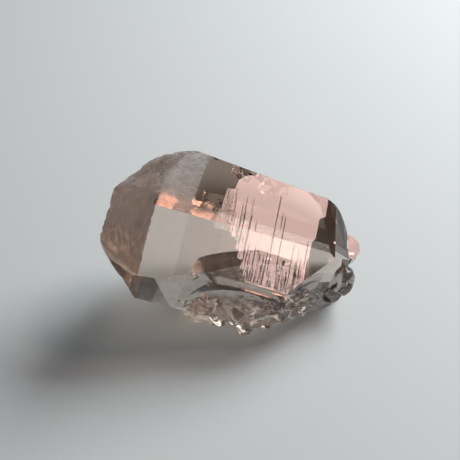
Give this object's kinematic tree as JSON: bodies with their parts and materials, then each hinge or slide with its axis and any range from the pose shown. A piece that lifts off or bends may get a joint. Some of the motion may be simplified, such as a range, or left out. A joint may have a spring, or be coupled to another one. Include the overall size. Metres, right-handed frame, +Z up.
{
  "type": "smoky quartz crystal",
  "caption": "Stout clear brown quartz crystal lying on its broken side, with a large flat face and a striated growth plateau.",
  "frame": {"origin": "on the ground, under the middle of the stone's box", "axes": "+Z up as it lies, +X along its length towards the end with the small crystals, -Y to the broken front"},
  "size_m": [0.0584, 0.0324, 0.035],
  "materials": {
    "smoky_quartz": "clear brown, glassy flat faces, frosted left end"
  },
  "bodies": {
    "root": {"quartz_crystal": "smoky_quartz"}
  },
  "joints": []
}
